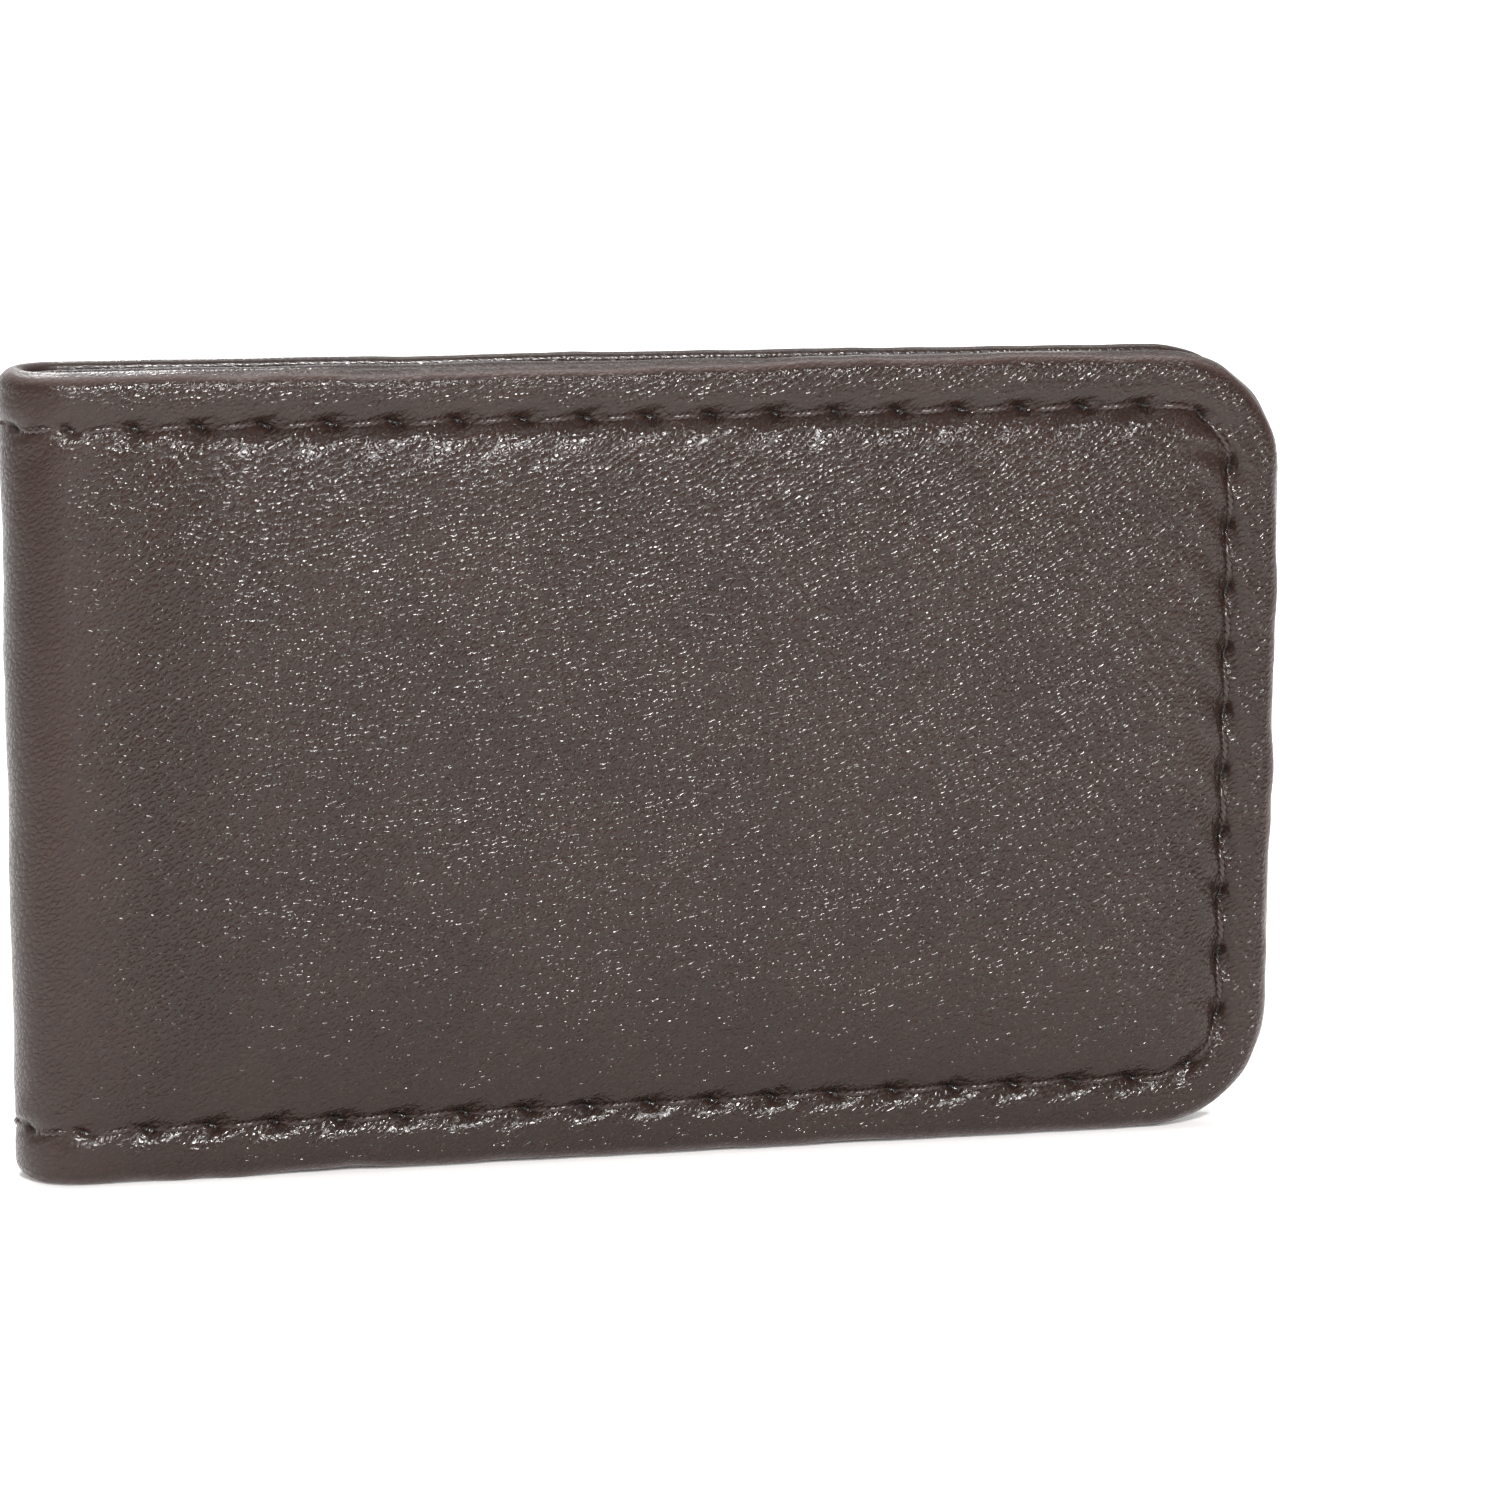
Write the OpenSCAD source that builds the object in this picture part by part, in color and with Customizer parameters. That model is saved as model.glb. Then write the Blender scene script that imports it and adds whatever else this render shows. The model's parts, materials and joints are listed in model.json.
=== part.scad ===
/* [Overall] */
// Length from the outside of the fold to the free ends
clip_length = 71.5; // [64:0.5:80]
// Height of the clip, along the fold
clip_height = 45; // [38:0.5:52]
// Radius of the two free corners of each flap
corner_r = 7; // [6:0.5:9]

/* [Leather] */
// Thickness of the outer cover leather
cover_t = 0.8; // [0.6:0.05:1]
// Thickness of the cover's skived turn-in, glued back under its own edge
turn_in_t = 0.5; // [0.4:0.05:0.6]
// Thickness of the lining leather
lining_t = 0.5; // [0.4:0.05:0.6]
// How far the lining's edge stays back from the turned edge
lining_inset = 0.4; // [0.3:0.05:0.8]

/* [Core] */
// Thickness of the stiffener board and of the magnets let into it
board_t = 1; // [0.8:0.1:1.4]
// Thickness of the foam pad over the board
foam_t = 0.4; // [0.3:0.05:0.6]
// How far the board and the pad stay back from the turned edge
pocket_inset = 4.6; // [4.4:0.1:5.4]
// Distance from the start of the fold to the board
pocket_start = 9; // [8.5:0.5:14]

/* [Magnets] */
// Length of each magnet, along the flap
magnet_l = 20; // [15:1:25]
// Width of each magnet, across the flap
magnet_w = 12; // [8:1:13]
// Gap round a magnet in its window in the board
magnet_gap = 0.2; // [0.1:0.05:0.4]
// Width of board left between the magnets and the end of the board
window_rim = 3; // [2:0.5:6]

/* [Fold] */
// Inner radius of the fold in the closed clip
fold_inner_r = 1.7; // [0.9:0.1:2.4]
// Number of lines that the fold bends along
fold_lines = 4; // [4:1:8]
// Gap between the linings at the free ends, with notes in the clip
tip_gap = 1.2; // [0.8:0.1:1.6]
// Gap left between neighbouring strips of the fold
strip_gap = 0.1; // [0.09:0.01:0.14]
// Length of the reinforcing tape past the fold, inside each flap
tape_reach = 6; // [4:0.5:8]
// Width of leather left between the tape and the turned edge
tape_inset = 4; // [3.8:0.1:6]

/* [Stitching] */
// Distance from the turned edge to the seam
seam_inset = 3.1; // [2.8:0.1:3.3]
// Length of one stitch
stitch_pitch = 3.5; // [3:0.1:4]
// Thickness of the thread
thread_d = 0.4; // [0.3:0.05:0.5]
// Bare leather between one stitch and the next
stitch_gap = 0.5; // [0.4:0.1:0.8]

/* [Raised panel] */
// Distance from the turned edge to the foot of the padded panel
panel_foot = 3.6; // [3.5:0.1:4]
// Distance from the turned edge to the flat top of the padded panel
panel_top = 5.2; // [5:0.1:5.8]
// Length of the gentle rise from the fold to the panel
panel_ramp = 8; // [6:0.5:8.5]

/* [Hidden] */
$fn = 64;
eps = 0.01;

// Heights through a flap, counted outwards from the lining's bare face
band_u = lining_t + turn_in_t + cover_t;
pocket_u = lining_t + board_t + foam_t;
panel_u = pocket_u + cover_t;

fold_outer_r = fold_inner_r + band_u;
flap_l = clip_length - fold_outer_r;
tilt = asin((2 * fold_inner_r - tip_gap) / flap_l);
fold_arc = 180 + tilt;
step_a = fold_arc / fold_lines;
half_slit_a = strip_gap / 2 / fold_outer_r * 180 / PI;

// The fold's centre line, placed so that the closed clip is centred on the origin
front_reach = fold_inner_r * cos(tilt) + panel_u * cos(tilt) - panel_ramp * sin(tilt);
axis_x = fold_outer_r - clip_length / 2;
axis_y = (front_reach - fold_inner_r - panel_u) / 2;

// Seam path round a flap: bottom run, corner, free end, corner, top run
seam_r = corner_r - seam_inset;
run_l = flap_l - corner_r;
bend_l = PI / 2 * seam_r;
end_l = clip_height - 2 * corner_r;
seam_l = 2 * run_l + 2 * bend_l + end_l;
stitches = round(seam_l / stitch_pitch);
stitch_step = seam_l / stitches;

// How deep a thread is pulled into the leather, and how far it stands proud
thread_proud = 0.1;
thread_sunk = thread_d - thread_proud;
knot_u = band_u / 2;

strips = [for (i = [1 : fold_lines - 1]) i];
STRIP_PARTS = ["fold_cover", "fold_tape", "fold_lining", "fold_needle_thread", "fold_bobbin_thread"];
FLAP_PARTS = [
    "cover", "foam_pad", "stiffener_board", "upper_magnet", "lower_magnet",
    "reinforcing_tape", "lining", "needle_thread", "bobbin_thread"
];

// ---------- frames: x runs from the fold to the free end, y across the flap, z outwards from the lining

module place_back() {
    translate([axis_x, axis_y + fold_inner_r, clip_height]) rotate([-90, 0, 0]) children();
}

module place_front() {
    translate([axis_x, axis_y, 0])
        rotate([0, 0, tilt])
            translate([0, -fold_inner_r, 0]) rotate([90, 0, 0]) children();
}

// The strip of the fold between bending lines i and i + 1, counted round from the back flap
module fold_strip(i) {
    translate([axis_x, axis_y, 0])
        rotate([0, 0, 90 + (i - 0.5) * step_a + half_slit_a])
            rotate_extrude(angle = step_a - 2 * half_slit_a) children();
}

// A flap's own half strip of the fold, in the flap's frame
module end_strip() {
    translate([0, clip_height, -fold_inner_r])
        rotate([90, 0, 0])
            rotate([0, 0, 90])
                rotate_extrude(angle = step_a / 2 - half_slit_a) children();
}

// ---------- outlines

// A flap's outline, kept back by an inset from the turned edge, starting at x = from_x
module outline(from_x, inset) {
    r = corner_r - inset;
    translate([from_x, inset]) square([run_l - from_x, clip_height - 2 * inset]);
    translate([from_x, corner_r]) square([flap_l - inset - from_x, end_l]);
    for (y = [corner_r, clip_height - corner_r])
        translate([run_l, y]) circle(r);
}

module plate(from_x, inset, from_u, to_u) {
    translate([0, 0, from_u]) linear_extrude(to_u - from_u) outline(from_x, inset);
}

// The padded panel: a plate with sloping sides, which rises gently out of the fold
module panel() {
    rise = panel_u - band_u;
    difference() {
        union() {
            rotate([90, 0, 90])
                linear_extrude(run_l)
                    polygon([
                        [panel_foot, band_u - eps], [clip_height - panel_foot, band_u - eps],
                        [clip_height - panel_top, panel_u], [panel_top, panel_u]
                    ]);
            translate([0, clip_height - corner_r, 0])
                rotate([90, 0, 0])
                    linear_extrude(end_l)
                        polygon([
                            [0, band_u - eps], [flap_l - panel_foot, band_u - eps],
                            [flap_l - panel_top, panel_u], [0, panel_u]
                        ]);
            for (y = [corner_r, clip_height - corner_r])
                translate([run_l, y, band_u - eps])
                    cylinder(h = rise + eps, r1 = corner_r - panel_foot, r2 = corner_r - panel_top);
        }
        translate([0, clip_height, 0])
            rotate([90, 0, 0])
                linear_extrude(clip_height)
                    polygon([
                        [-1, band_u], [0, band_u], [panel_ramp, panel_u],
                        [panel_ramp, panel_u + 1], [-1, panel_u + 1]
                    ]);
    }
}

// ---------- cross-sections of the fold, as radius and height

module cover_section() {
    difference() {
        translate([fold_inner_r + lining_t, 0])
            square([turn_in_t + cover_t, clip_height]);
        translate([fold_inner_r + lining_t - eps, tape_inset])
            square([turn_in_t + eps, clip_height - 2 * tape_inset]);
    }
}

module tape_section() {
    translate([fold_inner_r + lining_t, tape_inset])
        square([turn_in_t, clip_height - 2 * tape_inset]);
}

module lining_section() {
    translate([fold_inner_r, lining_inset])
        square([lining_t, clip_height - 2 * lining_inset]);
}

module thread_section(inner_r) {
    for (z = [seam_inset, clip_height - seam_inset])
        translate([inner_r, z - thread_d / 2]) square(thread_d);
}

module needle_section() {
    thread_section(fold_outer_r - thread_sunk);
}

module bobbin_section() {
    thread_section(fold_inner_r - thread_proud);
}

// ---------- leather

// A flap's cover: turned edge all round, padded panel, and a pocket for the core
module flap_cover() {
    color([0.34, 0.29, 0.28])
        difference() {
            union() {
                plate(0, 0, lining_t, band_u);
                panel();
                end_strip() cover_section();
            }
            plate(pocket_start, pocket_inset, lining_t - eps, pocket_u);
            translate([-eps, tape_inset, lining_t - eps])
                cube([tape_reach + 0.1 + eps, clip_height - 2 * tape_inset, turn_in_t + eps]);
        }
}

module flap_lining() {
    color([0.33, 0.28, 0.27]) {
        plate(0, lining_inset, 0, lining_t);
        end_strip() lining_section();
    }
}

module flap_tape() {
    color([0.2, 0.19, 0.18]) {
        translate([0, tape_inset, lining_t])
            cube([tape_reach, clip_height - 2 * tape_inset, turn_in_t]);
        end_strip() tape_section();
    }
}

module fold_cover(i) {
    color([0.34, 0.29, 0.28]) fold_strip(i) cover_section();
}

module fold_lining(i) {
    color([0.33, 0.28, 0.27]) fold_strip(i) lining_section();
}

module fold_tape(i) {
    color([0.2, 0.19, 0.18]) fold_strip(i) tape_section();
}

// ---------- core

// Fit between the core and its pocket
core_gap = 0.1;
magnet_x = flap_l - pocket_inset - core_gap - window_rim - magnet_l;
magnet_pitch = (clip_height - 2 * (pocket_inset + core_gap)) / 2;

module foam_pad() {
    color([0.75, 0.73, 0.68])
        plate(pocket_start + core_gap, pocket_inset + core_gap, lining_t + board_t, pocket_u);
}

module stiffener_board() {
    color([0.62, 0.53, 0.4])
        difference() {
            plate(pocket_start + core_gap, pocket_inset + core_gap, lining_t, lining_t + board_t);
            for (side = [-1, 1])
                magnet_block(side, magnet_gap, eps);
        }
}

module magnet_block(side, grow, through) {
    translate([
        magnet_x - grow,
        clip_height / 2 + side * magnet_pitch / 2 - magnet_w / 2 - grow,
        lining_t - through
    ])
        cube([magnet_l + 2 * grow, magnet_w + 2 * grow, board_t + 2 * through]);
}

module magnet(side) {
    color([0.7, 0.71, 0.73]) magnet_block(side, 0, 0);
}

// ---------- thread

// Place along the seam: [x, y, direction in degrees] at a length s from its start
function seam_at(s) =
    s < run_l ? [s, seam_inset, 0]
    : s < run_l + bend_l ? seam_bend([run_l, corner_r], 0, (s - run_l) / bend_l * 90)
    : s < run_l + bend_l + end_l ? [flap_l - seam_inset, corner_r + s - run_l - bend_l, 90]
    : s < run_l + 2 * bend_l + end_l
        ? seam_bend([run_l, clip_height - corner_r], 90, (s - run_l - bend_l - end_l) / bend_l * 90)
    : [2 * run_l + 2 * bend_l + end_l - s, clip_height - seam_inset, 180];

function seam_bend(centre, start_a, turn_a) = [
    centre[0] + seam_r * sin(start_a + turn_a),
    centre[1] - seam_r * cos(start_a + turn_a),
    start_a + turn_a
];

// One stitch, lying along x: a bar on the face of the leather, and a leg down to the knot at each end
module stitch(face_u, back_u, into) {
    half_l = (stitch_step - stitch_gap) / 2;
    bend = thread_d / 3;
    translate([0, thread_d / 2, 0])
        rotate([90, 0, 0])
            linear_extrude(thread_d)
                polygon([
                    [-half_l, into], [-half_l, face_u - sign(face_u - into) * bend],
                    [-half_l + bend, face_u], [half_l - bend, face_u],
                    [half_l, face_u - sign(face_u - into) * bend], [half_l, into],
                    [half_l - thread_d, into], [half_l - thread_d, back_u],
                    [-half_l + thread_d, back_u], [-half_l + thread_d, into]
                ]);
}

module stitch_row() {
    for (i = [0 : stitches - 1]) {
        at = seam_at((i + 0.5) * stitch_step);
        translate([at[0], at[1], 0]) rotate([0, 0, at[2]]) children();
    }
}

module flap_needle_thread() {
    color([0.38, 0.31, 0.3])
        stitch_row() stitch(band_u + thread_proud, band_u - thread_sunk, knot_u + eps);
}

module flap_bobbin_thread() {
    color([0.38, 0.31, 0.3])
        stitch_row() stitch(-thread_proud, thread_sunk, knot_u - eps);
}

module fold_needle_thread(i) {
    color([0.38, 0.31, 0.3]) fold_strip(i) needle_section();
}

module fold_bobbin_thread(i) {
    color([0.38, 0.31, 0.3]) fold_strip(i) bobbin_section();
}

// ---------- the two flaps, each with its own half strip of the fold

module flap_part(p) {
    if (p == "cover") flap_cover();
    if (p == "foam_pad") foam_pad();
    if (p == "stiffener_board") stiffener_board();
    if (p == "reinforcing_tape") flap_tape();
    if (p == "lining") flap_lining();
    if (p == "needle_thread") flap_needle_thread();
    if (p == "bobbin_thread") flap_bobbin_thread();
}

// The back flap's frame is turned over, so its upper magnet is on the other side of the middle
module back_part(p) {
    place_back() {
        flap_part(p);
        if (p == "upper_magnet") magnet(-1);
        if (p == "lower_magnet") magnet(1);
    }
}

module front_part(p) {
    place_front() {
        flap_part(p);
        if (p == "upper_magnet") magnet(1);
        if (p == "lower_magnet") magnet(-1);
    }
}

module strip_part(p, i) {
    if (p == "fold_cover") fold_cover(i);
    if (p == "fold_tape") fold_tape(i);
    if (p == "fold_lining") fold_lining(i);
    if (p == "fold_needle_thread") fold_needle_thread(i);
    if (p == "fold_bobbin_thread") fold_bobbin_thread(i);
}

for (p = FLAP_PARTS) {
    back_part(p);
    front_part(p);
}
for (p = STRIP_PARTS)
    for (i = strips)
        strip_part(p, i);
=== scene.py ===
import json
import math

import bpy
import numpy as np
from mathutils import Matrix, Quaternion, Vector

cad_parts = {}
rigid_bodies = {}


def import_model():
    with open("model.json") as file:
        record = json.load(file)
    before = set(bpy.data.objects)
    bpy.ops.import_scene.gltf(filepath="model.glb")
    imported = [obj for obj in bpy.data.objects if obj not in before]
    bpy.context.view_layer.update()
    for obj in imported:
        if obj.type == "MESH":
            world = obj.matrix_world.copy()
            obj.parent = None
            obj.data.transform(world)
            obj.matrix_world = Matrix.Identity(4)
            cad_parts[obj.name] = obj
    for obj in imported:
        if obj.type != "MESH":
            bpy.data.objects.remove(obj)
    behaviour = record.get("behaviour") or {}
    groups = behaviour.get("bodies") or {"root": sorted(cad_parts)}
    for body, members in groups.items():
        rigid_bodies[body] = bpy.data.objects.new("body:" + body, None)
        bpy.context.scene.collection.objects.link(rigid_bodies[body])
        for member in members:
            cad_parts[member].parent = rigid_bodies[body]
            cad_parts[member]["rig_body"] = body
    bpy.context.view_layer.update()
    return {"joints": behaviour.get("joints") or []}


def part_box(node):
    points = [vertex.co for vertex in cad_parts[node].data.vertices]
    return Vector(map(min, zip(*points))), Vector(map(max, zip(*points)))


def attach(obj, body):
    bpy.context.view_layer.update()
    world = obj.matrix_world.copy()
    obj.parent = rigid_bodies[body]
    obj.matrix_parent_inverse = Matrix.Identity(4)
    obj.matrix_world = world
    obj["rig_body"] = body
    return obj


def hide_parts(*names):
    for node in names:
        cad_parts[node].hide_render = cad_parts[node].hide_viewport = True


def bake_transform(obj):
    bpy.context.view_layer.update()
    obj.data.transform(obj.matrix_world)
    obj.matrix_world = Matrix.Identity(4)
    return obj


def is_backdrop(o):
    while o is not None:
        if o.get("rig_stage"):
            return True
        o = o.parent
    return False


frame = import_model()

# ---------- measures: millimetres, worked out from the frame ----------

MM = 0.001
BODIES = ["back_flap", "fold_strip_1", "fold_strip_2", "fold_strip_3", "front_flap"]
STRIPS = len(BODIES) - 1


def box_mm(node):
    low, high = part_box(node)
    return np.array(low) / MM, np.array(high) / MM


def fold_circle():
    """Centre, radius and spacing of the fold's bending lines, which lie round a circle."""
    joints = sorted(frame["joints"], key=lambda j: j["name"])
    p = np.array([j["pos_m"][:2] for j in joints]) / MM
    rows = 2 * (p[1:] - p[0])
    rhs = (p[1:] ** 2).sum(1) - (p[0] ** 2).sum()
    centre = np.linalg.lstsq(rows, rhs, rcond=None)[0]
    radius = np.linalg.norm(p - centre, axis=1).mean()
    chord = np.linalg.norm(p[1:] - p[:-1], axis=1).mean()
    return centre, radius, 2 * math.asin(chord / 2 / radius)


AXIS, OUTER_R, STEP = fold_circle()
ARC = STRIPS * STEP
TILT = ARC - math.pi
FOLD_L = OUTER_R * ARC

HEIGHT = box_mm("back_cover")[1][2]
FLAP_L = box_mm("back_cover")[1][0] - AXIS[0]
LINING_T, COVER_T = 0.5, 0.8
BOARD_TOP = box_mm("back_stiffener_board")[1][1] - AXIS[1]
BOARD_FOOT = box_mm("back_stiffener_board")[0][1] - AXIS[1]
INNER_R = BOARD_FOOT - LINING_T
BAND_U = OUTER_R - INNER_R
PANEL_U = box_mm("back_cover")[1][1] - AXIS[1] - INNER_R
BOARD_TOP_U = BOARD_TOP - INNER_R
POCKET_X = box_mm("back_stiffener_board")[0][0] - AXIS[0]
POCKET_D = box_mm("back_stiffener_board")[0][2]
LINING_INSET = box_mm("back_lining")[0][2]

CORNER_R = 7.0
SEAM_D = 3.1
STITCH_PITCH = 3.5
RUN_L = FLAP_L - CORNER_R
SIDE_L = HEIGHT - 2 * CORNER_R
BEND_L = math.pi / 2 * (CORNER_R - SEAM_D)
SEAM_L = 2 * RUN_L + 2 * BEND_L + SIDE_L
STITCHES = round(SEAM_L / STITCH_PITCH)
STITCH = SEAM_L / STITCHES
FOLD_STITCHES = 3
FOLD_STITCH = FOLD_L / FOLD_STITCHES


# ---------- places: x from the fold to the free end, y up, u outwards from the lining's bare face ----------

def on_flap(side, x, y, u):
    r = INNER_R + u
    if side == "back":
        return np.stack([AXIS[0] + x, AXIS[1] + r, y], -1)
    cos_t, sin_t = math.cos(TILT), math.sin(TILT)
    return np.stack([AXIS[0] + x * cos_t + r * sin_t, AXIS[1] + x * sin_t - r * cos_t, y], -1)


def on_fold(angle, y, u):
    r = INNER_R + u
    return np.stack([AXIS[0] - r * np.sin(angle), AXIS[1] + r * np.cos(angle), y], -1)


def along_strip(side, x):
    """The place along the unfolded strip, from 0 at the back flap's end of the fold."""
    return -x if side == "back" else FOLD_L + x


def bell(x, width):
    return np.exp(-((x / width) ** 2))


def ease(x):
    x = np.clip(x, 0, 1)
    return x * x * (3 - 2 * x)


def waves(w, y, seed, length, count=14):
    """A smooth random field of height about 1, whose hills are about `length` mm long."""
    rng = np.random.default_rng(seed)
    total = 0
    for _ in range(count):
        heading = rng.uniform(0, 2 * math.pi)
        k = 2 * math.pi / (length * rng.uniform(0.7, 1.6))
        phase = rng.uniform(0, 2 * math.pi)
        total = total + np.cos(k * (w * math.cos(heading) + y * math.sin(heading)) + phase)
    return total / math.sqrt(count)


# ---------- the outline of a flap, as rings at a distance d from its turned edge ----------

RUN_N, BEND_N, SIDE_N, COARSE = 240, 24, 120, 3


def outline():
    """Core point, outward direction and seam length of each point round a flap."""
    xs = np.linspace(0, RUN_L, RUN_N + 1)
    ys = np.linspace(CORNER_R, HEIGHT - CORNER_R, SIDE_N + 1)
    turn = np.linspace(0, math.pi / 2, BEND_N + 1)[1:-1]
    seam_r = CORNER_R - SEAM_D
    core, out, s = [], [], []
    for x in xs:
        core.append((x, CORNER_R))
        out.append((0, -1))
        s.append(x)
    for a in turn:
        core.append((RUN_L, CORNER_R))
        out.append((math.sin(a), -math.cos(a)))
        s.append(RUN_L + a * seam_r)
    for y in ys:
        core.append((RUN_L, y))
        out.append((1, 0))
        s.append(RUN_L + BEND_L + y - CORNER_R)
    for a in turn:
        core.append((RUN_L, HEIGHT - CORNER_R))
        out.append((math.cos(a), math.sin(a)))
        s.append(RUN_L + BEND_L + SIDE_L + a * seam_r)
    for x in xs[::-1]:
        core.append((x, HEIGHT - CORNER_R))
        out.append((0, 1))
        s.append(SEAM_L - x)
    return np.array(core), np.array(out, float), np.array(s)


CORE, OUT, SEAM_S = outline()
AROUND = len(CORE)


def coarse_steps():
    """The outline's points that meet the corners of the coarse middle's cells."""
    marks = list(range(0, RUN_N + 1, COARSE))
    side_0 = RUN_N + BEND_N
    marks += list(range(side_0, side_0 + SIDE_N + 1, COARSE))
    top_0 = side_0 + SIDE_N + BEND_N
    marks += list(range(top_0, top_0 + RUN_N + 1, COARSE))
    return marks


MARKS = coarse_steps()
GRID_X, GRID_Y = RUN_N // COARSE + 1, SIDE_N // COARSE + 1


def grid_id(a, b):
    return a * GRID_Y + b


def rim_of_grid():
    """The middle's rim vertices, one for each mark of the outline."""
    last_x, last_y = GRID_X - 1, GRID_Y - 1
    ids = [grid_id(a, 0) for a in range(GRID_X)]
    ids += [grid_id(last_x, b) for b in range(GRID_Y)]
    ids += [grid_id(last_x - a, last_y) for a in range(GRID_X)]
    return ids


GRID_RIM = rim_of_grid()


def flap_shell(profile):
    """A closed flap shell in flat coordinates.

    profile lists (d, u, face) from the inner middle round the edge to the outer middle; face is 0 inside
    and 1 outside. Returns vertex arrays, faces, and the loop of vertices against the fold.
    """
    rings = len(profile)
    d = np.array([p[0] for p in profile])
    ring_xy = CORE[None] + OUT[None] * (CORNER_R - d)[:, None, None]
    size = rings * AROUND
    gx = CORE[:RUN_N + 1:COARSE, 0]
    gy = np.linspace(CORNER_R, HEIGHT - CORNER_R, GRID_Y)
    grid_xy = np.stack(np.meshgrid(gx, gy, indexing="ij"), -1).reshape(-1, 2)
    cells = len(grid_xy)
    v = {
        "x": np.concatenate([ring_xy[..., 0].ravel(), grid_xy[:, 0], grid_xy[:, 0]]),
        "y": np.concatenate([ring_xy[..., 1].ravel(), grid_xy[:, 1], grid_xy[:, 1]]),
        "d": np.concatenate([np.repeat(d, AROUND), np.full(2 * cells, CORNER_R)]),
        "s": np.concatenate([np.tile(SEAM_S, rings), np.zeros(2 * cells)]),
        "u": np.concatenate([np.repeat([p[1] for p in profile], AROUND),
                             np.full(cells, profile[0][1]), np.full(cells, profile[-1][1])]),
        "outer": np.concatenate([np.repeat([p[2] for p in profile], AROUND).astype(float),
                                 np.zeros(cells), np.ones(cells)]),
        "out_x": np.concatenate([np.tile(OUT[:, 0], rings), np.zeros(2 * cells)]),
        "out_y": np.concatenate([np.tile(OUT[:, 1], rings), np.zeros(2 * cells)]),
    }
    middle = v["d"] >= CORNER_R
    v["d"] = np.where(middle, np.minimum(np.minimum(v["y"], HEIGHT - v["y"]), FLAP_L - v["x"]), v["d"])
    faces = []
    for j in range(rings - 1):
        low, high = j * AROUND, (j + 1) * AROUND
        faces += [(low + i, low + i + 1, high + i + 1, high + i) for i in range(AROUND - 1)]
    inner_0, outer_0 = size, size + cells
    for a in range(GRID_X - 1):
        for b in range(GRID_Y - 1):
            quad = (grid_id(a, b), grid_id(a + 1, b), grid_id(a + 1, b + 1), grid_id(a, b + 1))
            faces.append(tuple(outer_0 + q for q in quad))
            faces.append(tuple(inner_0 + q for q in quad[::-1]))
    top = (rings - 1) * AROUND
    for (first, last), (near, far) in zip(zip(MARKS[:-1], MARKS[1:]), zip(GRID_RIM[:-1], GRID_RIM[1:])):
        for base, grid_0, flip in ((top, outer_0, False), (0, inner_0, True)):
            ring = [base + i for i in range(first, last + 1)]
            rim = [grid_0 + far] if near == far else [grid_0 + far, grid_0 + near]
            face = ring + rim
            faces.append(tuple(face[::-1] if flip else face))
    loop = [j * AROUND for j in range(rings)] + [outer_0 + grid_id(0, b) for b in range(GRID_Y)]
    loop += [(rings - 1 - j) * AROUND + AROUND - 1 for j in range(rings)]
    loop += [inner_0 + grid_id(0, GRID_Y - 1 - b) for b in range(GRID_Y)]
    return v, faces, np.array(loop)


def section_caps(loop):
    """Faces that close a layer's section: a lobe at each edge, and quads across the middle."""
    rings = len(loop) // 2 - GRID_Y
    outer = list(range(rings, rings + GRID_Y))
    inner = list(range(len(loop) - 1, len(loop) - 1 - GRID_Y, -1))
    top = list(range(rings + GRID_Y, 2 * rings + GRID_Y))
    caps = [tuple(range(rings)) + (outer[0], inner[0]), (inner[-1], outer[-1], *top)]
    caps += [(outer[b], outer[b + 1], inner[b + 1], inner[b]) for b in range(GRID_Y - 1)]
    return [tuple(int(loop[i]) for i in cap) for cap in caps]


# ---------- the cover's surface ----------

# Seam: depth of its valley on the flaps, over the fold and on the lining, and half its width
GROOVE, GROOVE_FOLD, GROOVE_LINING, GROOVE_W = 0.32, 0.2, 0.14, 0.5
# Needle holes: depth, lean, narrowness across the seam, and half-length
HOLE, HOLE_LEAN, HOLE_NARROW, HOLE_L = 0.32, 0.4, 3.0, 0.5
# Puckers between the holes: height, slant, and reach into the panel and the band
PUCKER, SLANT, PUCKER_IN, PUCKER_OUT = 0.16, 1.3, 1.3, 0.7
CREASE, CREASE_REACH = 0.03, 0.9
# How far the grain is pressed flat on the band outside the seam, and round the edge
BAND_SMOOTH, EDGE_SMOOTH = 0.35, 0.7
# Padded panel: width of its foot, share of its height gained there, and the crown's reach and flatness
PANEL_EDGE, RISE_SHARE, CROWN_REACH, CROWN_POWER = 0.75, 0.25, 18, 5
# Turned edge: how far it draws in, its waves (height, length), its pleats, and the dip of the front's top
DRAWN_IN, EDGE_WAVES, PLEAT, PLEATS = 0.09, ((0.07, 11.0), (0.03, 3.0)), 0.09, 14
SAG, SAG_X, SAG_REACH = 0.2, 21, 15
# Room for the reinforcing tape under the cover: its end along the flap, and its edge
TAPE_X, TAPE_D = 7, 3.75
# The magnets' relief in the lining: height, and width of its slope
MAGNET_LIFT, MAGNET_BLUR = 0.05, 1.2
# Distance from the edge at which the rings end and the seam's relief has died away
RING_END = 6.6


def quarter(centre_d, centre_u, radius, start, count):
    """Points of a quarter circle in the (d, u) section, turning towards the outer face."""
    angles = start + np.linspace(0, math.pi / 2, count)
    return [(centre_d + radius * math.cos(a), centre_u + radius * math.sin(a)) for a in angles]


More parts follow.
